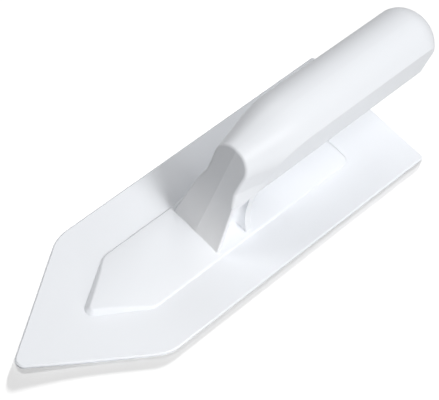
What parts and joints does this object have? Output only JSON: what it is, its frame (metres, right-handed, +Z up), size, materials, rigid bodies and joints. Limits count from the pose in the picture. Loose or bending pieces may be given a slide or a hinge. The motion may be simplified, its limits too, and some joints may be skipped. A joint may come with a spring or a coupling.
{
  "type": "margin trowel",
  "caption": "All-plastic pointed margin trowel: long flat blade with a raised backing pad, an I-section riser and a barrel grip set parallel above it.",
  "frame": {"origin": "on the blade's flat underside, at the middle of its parallel-sided length and of its width", "axes": "+X along the blade towards its square end and the grip's free end, the blade's point lies at -X; +Z up from the underside towards the grip; +Y to the right-hand side seen from behind the grip"},
  "size_m": [0.26, 0.08, 0.067],
  "materials": {
    "blade_plastic": "satin white moulded or sheet plastic",
    "moulded_plastic": "satin white moulded plastic",
    "pin_plastic": "natural white plastic rod"
  },
  "bodies": {
    "root": {"blade": "blade_plastic", "backing_pad": "moulded_plastic", "leg": "moulded_plastic", "grip_right_shell": "moulded_plastic", "grip_left_shell": "moulded_plastic", "grip_pins": "pin_plastic"}
  },
  "joints": []
}
